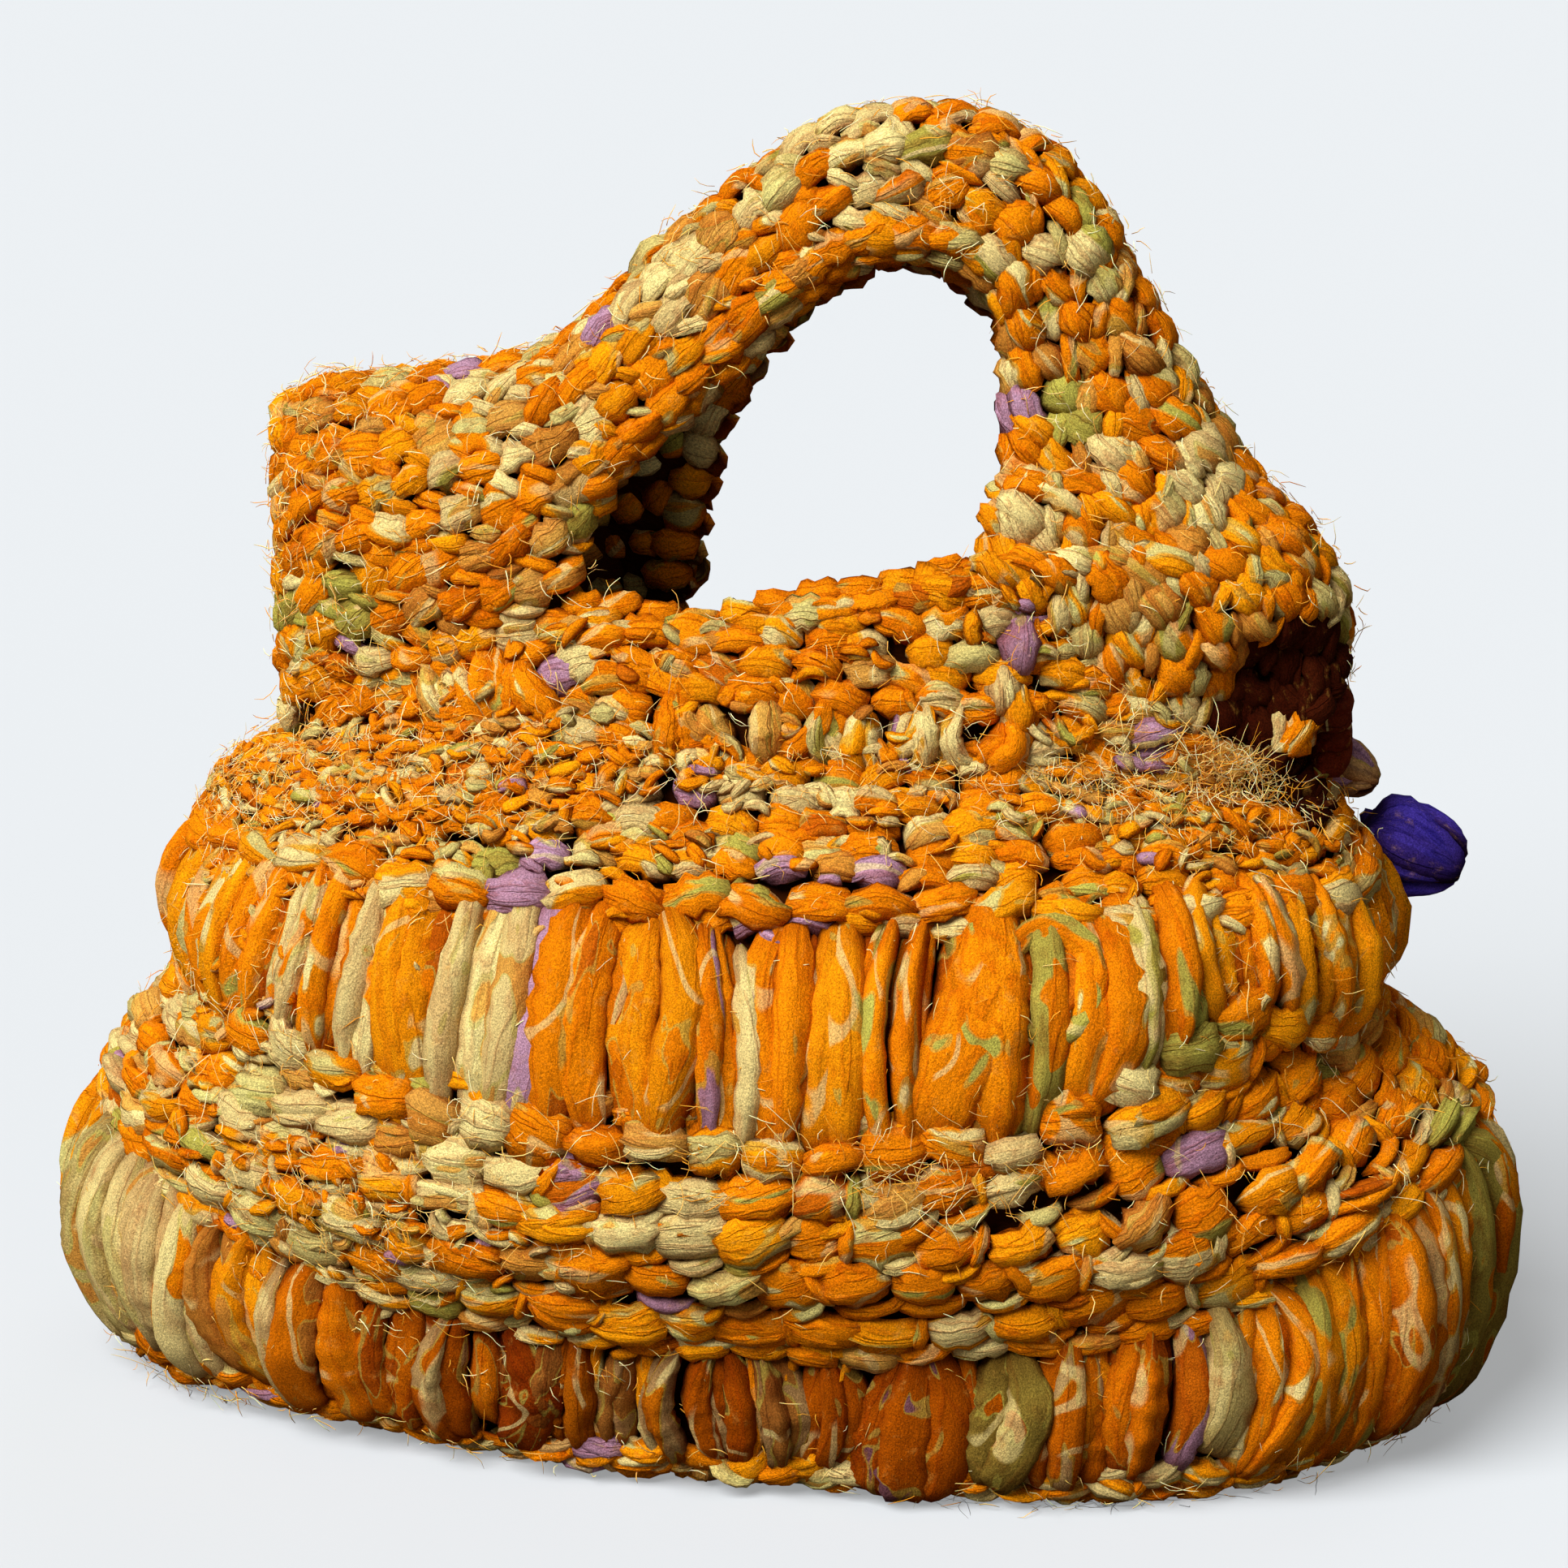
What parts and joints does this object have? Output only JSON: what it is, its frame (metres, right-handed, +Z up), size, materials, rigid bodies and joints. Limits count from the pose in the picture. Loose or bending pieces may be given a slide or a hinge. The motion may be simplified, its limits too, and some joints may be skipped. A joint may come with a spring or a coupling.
{
  "type": "knitted tote bag",
  "caption": "Hand-knitted tote bag of torn cloth strips with a wide rounded base, bands of long loops, a pinched neck and one arched folded handle.",
  "frame": {"origin": "centre of the flat base, on the floor", "axes": "+Z up, the front with the wide flap faces -Y, +X to the bag's right as the front is looked at"},
  "size_m": [0.4298, 0.2204, 0.3922],
  "materials": {
    "body_knit": "matt torn cotton strips, orange with cream, yellow-green and mauve patches",
    "band_knit": "matt torn cotton strips, orange with more cream",
    "violet_cloth": "matt violet cotton",
    "brown_cloth": "matt ochre brown cotton"
  },
  "bodies": {
    "root": {"body": "body_knit", "handle_band": "band_knit", "violet_side_loop": "violet_cloth", "brown_side_loop": "brown_cloth"}
  },
  "joints": []
}
